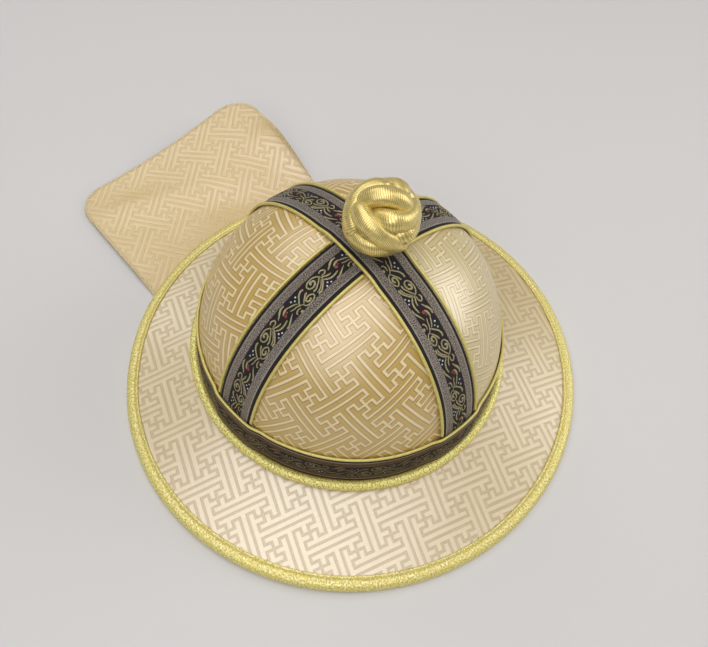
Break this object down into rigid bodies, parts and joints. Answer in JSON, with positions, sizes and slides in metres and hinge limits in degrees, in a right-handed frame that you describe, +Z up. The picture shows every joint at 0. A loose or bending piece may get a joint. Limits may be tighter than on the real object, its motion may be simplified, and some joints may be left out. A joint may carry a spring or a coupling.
{
  "type": "mongolian hat",
  "caption": "Stiff domed fabric hat with a sloping round brim, crossed brocade ribbons, gold edging, a woven button knot on top and a loose cloth neck flap at the back.",
  "frame": {"origin": "centre of the footprint, flap included, on the surface that the hat lies on", "axes": "+Z up through the crown, the front of the hat towards -Y, the neck flap towards +Y"},
  "size_m": [0.2876, 0.3652, 0.1589],
  "materials": {
    "damask": "cream and gold satin damask with a woven key fret",
    "brocade_ribbon": "black and silver-grey jacquard ribbon with gold scrolls",
    "gold_binding": "glittering gold metallic-thread cloth",
    "gold_piping": "gold satin piping",
    "gold_knot": "shiny ribbed gold satin cord"
  },
  "bodies": {
    "root": {"crown_gore_front_left": "damask", "crown_gore_front_right": "damask", "crown_gore_back_left": "damask", "crown_gore_back_right": "damask", "brim": "damask", "neck_flap": "damask", "brim_binding": "gold_binding", "base_cord": "gold_binding", "hat_band": "brocade_ribbon", "ribbon_front_back": "brocade_ribbon", "ribbon_side": "brocade_ribbon", "band_piping": "gold_piping", "piping_front_back_left": "gold_piping", "piping_front_back_right": "gold_piping", "piping_side_front_left": "gold_piping", "piping_side_front_right": "gold_piping", "piping_side_back_left": "gold_piping", "piping_side_back_right": "gold_piping", "button_knot": "gold_knot"}
  },
  "joints": []
}
